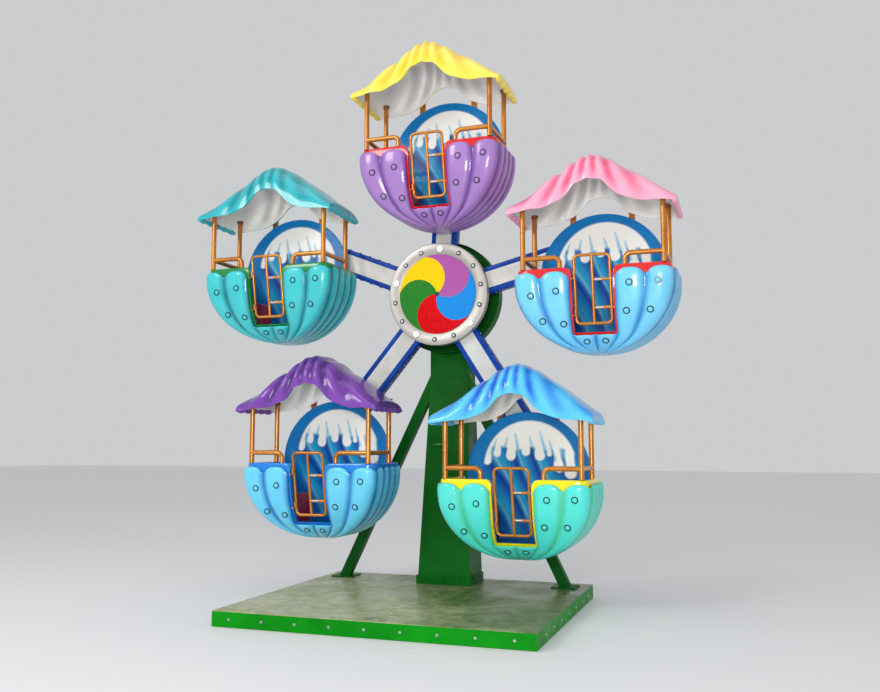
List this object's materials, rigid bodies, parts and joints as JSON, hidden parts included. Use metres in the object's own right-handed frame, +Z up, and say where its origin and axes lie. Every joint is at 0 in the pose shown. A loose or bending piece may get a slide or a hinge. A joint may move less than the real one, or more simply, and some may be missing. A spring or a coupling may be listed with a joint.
{
  "type": "mini ferris wheel kiddie ride",
  "caption": "Small upright wheel ride: cabins with draped roofs and tube gates hang from spokes on a tapered tower with rear struts and a flat platform.",
  "frame": {"origin": "centre of the platform's underside, on the ground", "axes": "+X to the right seen from the front, +Y to the back along the wheel's axle, +Z up"},
  "size_m": [3.4347, 1.7586, 3.8934],
  "materials": {
    "green_paint": "satin green enamel on steel",
    "deck_paint": "worn green paint on plate",
    "zinc": "zinc-plated",
    "spoke_paint": "white enamel with blue edges",
    "lamp": "clear white caps",
    "cover_metal": "brushed sheet",
    "steel": "machined steel",
    "motor_paint": "grey-blue enamel",
    "bronze_paint": "bronze enamel on tube",
    "panel_paint": "painted moulding",
    "seat_mould": "gloss moulding",
    "basket_a": "gloss gel coat on moulding",
    "liner_a": "gloss gel coat on moulding",
    "roof_a": "gloss gel coat on moulding",
    "basket_b": "gloss gel coat on moulding",
    "liner_b": "gloss gel coat on moulding",
    "roof_b": "gloss gel coat on moulding",
    "basket_c": "gloss gel coat on moulding",
    "liner_c": "gloss gel coat on moulding",
    "roof_c": "gloss gel coat on moulding",
    "basket_d": "gloss gel coat on moulding",
    "liner_d": "gloss gel coat on moulding",
    "roof_d": "gloss gel coat on moulding",
    "basket_e": "gloss gel coat on moulding",
    "liner_e": "gloss gel coat on moulding",
    "roof_e": "gloss gel coat on moulding"
  },
  "bodies": {
    "stand": {"base_frame": "green_paint", "deck_plate": "deck_paint", "skirt_panels": "green_paint", "skirt_screws": "zinc", "tower_column": "green_paint", "tower_collar": "green_paint", "rear_struts": "green_paint", "main_bearings": "steel", "gear_motor": "motor_paint", "drum_housing": "green_paint"},
    "wheel": {"spokes": "spoke_paint", "spoke_lamps": "lamp", "hub_flanges": "steel", "hub_cover": "cover_metal", "hub_lamps": "lamp", "main_shaft": "steel", "drive_gear": "steel", "pivot_shafts": "steel"},
    "pinion": {"drive_pinion": "steel", "motor_shaft": "steel"},
    "cabin_a": {"cabin_a_basket": "basket_a", "cabin_a_liner": "liner_a", "cabin_a_seats": "seat_mould", "cabin_a_frame": "bronze_paint", "cabin_a_roof": "roof_a", "cabin_a_back_panel": "panel_paint"},
    "gate_a": {"cabin_a_gate": "bronze_paint"},
    "latch_a": {"cabin_a_latch_bolts": "zinc"},
    "cabin_b": {"cabin_b_basket": "basket_b", "cabin_b_liner": "liner_b", "cabin_b_seats": "seat_mould", "cabin_b_frame": "bronze_paint", "cabin_b_roof": "roof_b", "cabin_b_back_panel": "panel_paint"},
    "gate_b": {"cabin_b_gate": "bronze_paint"},
    "latch_b": {"cabin_b_latch_bolts": "zinc"},
    "cabin_c": {"cabin_c_basket": "basket_c", "cabin_c_liner": "liner_c", "cabin_c_seats": "seat_mould", "cabin_c_frame": "bronze_paint", "cabin_c_roof": "roof_c", "cabin_c_back_panel": "panel_paint"},
    "gate_c": {"cabin_c_gate": "bronze_paint"},
    "latch_c": {"cabin_c_latch_bolts": "zinc"},
    "cabin_d": {"cabin_d_basket": "basket_d", "cabin_d_liner": "liner_d", "cabin_d_seats": "seat_mould", "cabin_d_frame": "bronze_paint", "cabin_d_roof": "roof_d", "cabin_d_back_panel": "panel_paint"},
    "gate_d": {"cabin_d_gate": "bronze_paint"},
    "latch_d": {"cabin_d_latch_bolts": "zinc"},
    "cabin_e": {"cabin_e_basket": "basket_e", "cabin_e_liner": "liner_e", "cabin_e_seats": "seat_mould", "cabin_e_frame": "bronze_paint", "cabin_e_roof": "roof_e", "cabin_e_back_panel": "panel_paint"},
    "gate_e": {"cabin_e_gate": "bronze_paint"},
    "latch_e": {"cabin_e_latch_bolts": "zinc"}
  },
  "joints": [
    {"name": "wheel_spin", "type": "hinge", "parent": "stand", "child": "wheel", "pos_m": [0, 0.6, 2.166], "axis": [0, 1, 0], "continuous": true},
    {"name": "pinion_spin", "type": "hinge", "parent": "stand", "child": "pinion", "pos_m": [0, 0.6, 1.918], "axis": [0, 1, 0], "continuous": true},
    {"name": "cabin_a_swing", "type": "hinge", "parent": "wheel", "child": "cabin_a", "pos_m": [0.07938, 0.4, 3.39344], "axis": [0, 1, 0], "continuous": true},
    {"name": "gate_a_hinge", "type": "hinge", "parent": "cabin_a", "child": "gate_a", "pos_m": [-0.03363, -0.0652, 2.98622], "axis": [0, -0.1837, 0.983], "range_deg": [-100, 0]},
    {"name": "latch_a_slide", "type": "slide", "parent": "gate_a", "child": "latch_a", "axis": [1, 0, 0], "range_m": [0, 0.028]},
    {"name": "cabin_b_swing", "type": "hinge", "parent": "wheel", "child": "cabin_b", "pos_m": [-1.14283, 0.4, 2.62079], "axis": [0, 1, 0], "continuous": true},
    {"name": "gate_b_hinge", "type": "hinge", "parent": "cabin_b", "child": "gate_b", "pos_m": [-1.25583, -0.0652, 2.21357], "axis": [0, -0.1837, 0.983], "range_deg": [-100, 0]},
    {"name": "latch_b_slide", "type": "slide", "parent": "gate_b", "child": "latch_b", "axis": [1, 0, 0], "range_m": [0, 0.028]},
    {"name": "cabin_c_swing", "type": "hinge", "parent": "wheel", "child": "cabin_c", "pos_m": [-0.78568, 0.4, 1.21964], "axis": [0, 1, 0], "continuous": true},
    {"name": "gate_c_hinge", "type": "hinge", "parent": "cabin_c", "child": "gate_c", "pos_m": [-0.89868, -0.0652, 0.81242], "axis": [0, -0.1837, 0.983], "range_deg": [-100, 0]},
    {"name": "latch_c_slide", "type": "slide", "parent": "gate_c", "child": "latch_c", "axis": [1, 0, 0], "range_m": [0, 0.028]},
    {"name": "cabin_d_swing", "type": "hinge", "parent": "wheel", "child": "cabin_d", "pos_m": [0.65725, 0.4, 1.12633], "axis": [0, 1, 0], "continuous": true},
    {"name": "gate_d_hinge", "type": "hinge", "parent": "cabin_d", "child": "gate_d", "pos_m": [0.54425, -0.0652, 0.71911], "axis": [0, -0.1837, 0.983], "range_deg": [-100, 0]},
    {"name": "latch_d_slide", "type": "slide", "parent": "gate_d", "child": "latch_d", "axis": [1, 0, 0], "range_m": [0, 0.028]},
    {"name": "cabin_e_swing", "type": "hinge", "parent": "wheel", "child": "cabin_e", "pos_m": [1.19189, 0.4, 2.46981], "axis": [0, 1, 0], "continuous": true},
    {"name": "gate_e_hinge", "type": "hinge", "parent": "cabin_e", "child": "gate_e", "pos_m": [1.07889, -0.0652, 2.06259], "axis": [0, -0.1837, 0.983], "range_deg": [-100, 0]},
    {"name": "latch_e_slide", "type": "slide", "parent": "gate_e", "child": "latch_e", "axis": [1, 0, 0], "range_m": [0, 0.028]}
  ],
  "couplings": [
    {"joint": "pinion_spin", "follows": "wheel_spin", "ratio": -3.4286},
    {"joint": "cabin_a_swing", "follows": "wheel_spin", "ratio": -1},
    {"joint": "cabin_b_swing", "follows": "wheel_spin", "ratio": -1},
    {"joint": "cabin_c_swing", "follows": "wheel_spin", "ratio": -1},
    {"joint": "cabin_d_swing", "follows": "wheel_spin", "ratio": -1},
    {"joint": "cabin_e_swing", "follows": "wheel_spin", "ratio": -1}
  ]
}
